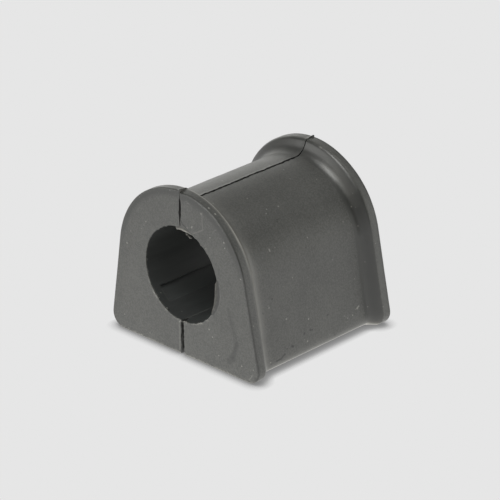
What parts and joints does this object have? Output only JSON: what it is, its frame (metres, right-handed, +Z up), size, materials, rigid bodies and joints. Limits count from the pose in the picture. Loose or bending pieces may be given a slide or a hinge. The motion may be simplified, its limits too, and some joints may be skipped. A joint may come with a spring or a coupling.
{
  "type": "split sway bar bushing",
  "caption": "Split rubber bushing with a D-shaped arch body, a flange at each end and a round bore, which holds a round bar under a clamping strap.",
  "frame": {"origin": "middle of the flat base, midway between the two end faces", "axes": "+Z up from the base to the crown, +Y along the bore from the front end face to the back one, +X towards the right half"},
  "size_m": [0.0496, 0.0446, 0.0421],
  "materials": {
    "rubber": "matt moulded rubber"
  },
  "bodies": {
    "root": {"left_half": "rubber", "right_half": "rubber"}
  },
  "joints": []
}
